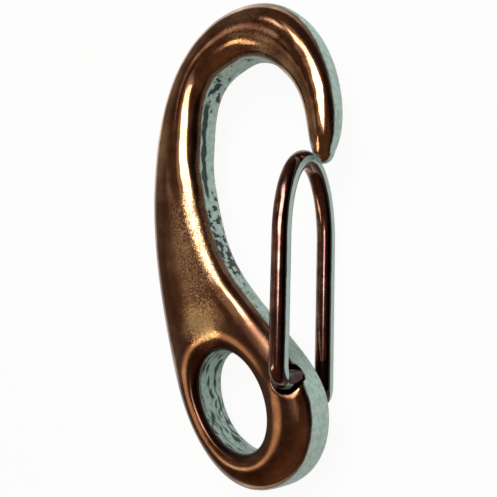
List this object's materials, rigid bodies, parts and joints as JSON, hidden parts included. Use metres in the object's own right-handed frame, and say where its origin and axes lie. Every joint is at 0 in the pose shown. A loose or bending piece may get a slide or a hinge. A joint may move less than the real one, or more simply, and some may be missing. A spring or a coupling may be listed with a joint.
{
  "type": "snap hook",
  "caption": "Cast snap hook with a slanted eye at one end and a sprung wire gate that swings inwards to let a rope, ring or shackle into the hook.",
  "frame": {"origin": "under the middle of the hook, on the plane that the lower leg of the gate rests on", "axes": "+Y along the hook from the eye to the crown, +X from the spine to the gate, +Z out of the upper face"},
  "size_m": [0.0376, 0.0798, 0.016],
  "materials": {
    "cast_body": "bronze-brown polished faces, pale grey-green as-cast edges",
    "gate_wire": "polished drawn wire, bronze-brown"
  },
  "bodies": {
    "body": {"hook_body": "cast_body"},
    "gate": {"wire_gate": "gate_wire"}
  },
  "joints": [
    {"name": "gate_hinge", "type": "hinge", "parent": "body", "child": "gate", "pos_m": [0.01485, -0.02385, 0.008], "axis": [0, 0, 1], "range_deg": [0, 28], "stiffness_Nm_per_rad": 0.2, "springref_deg": -20.05}
  ]
}
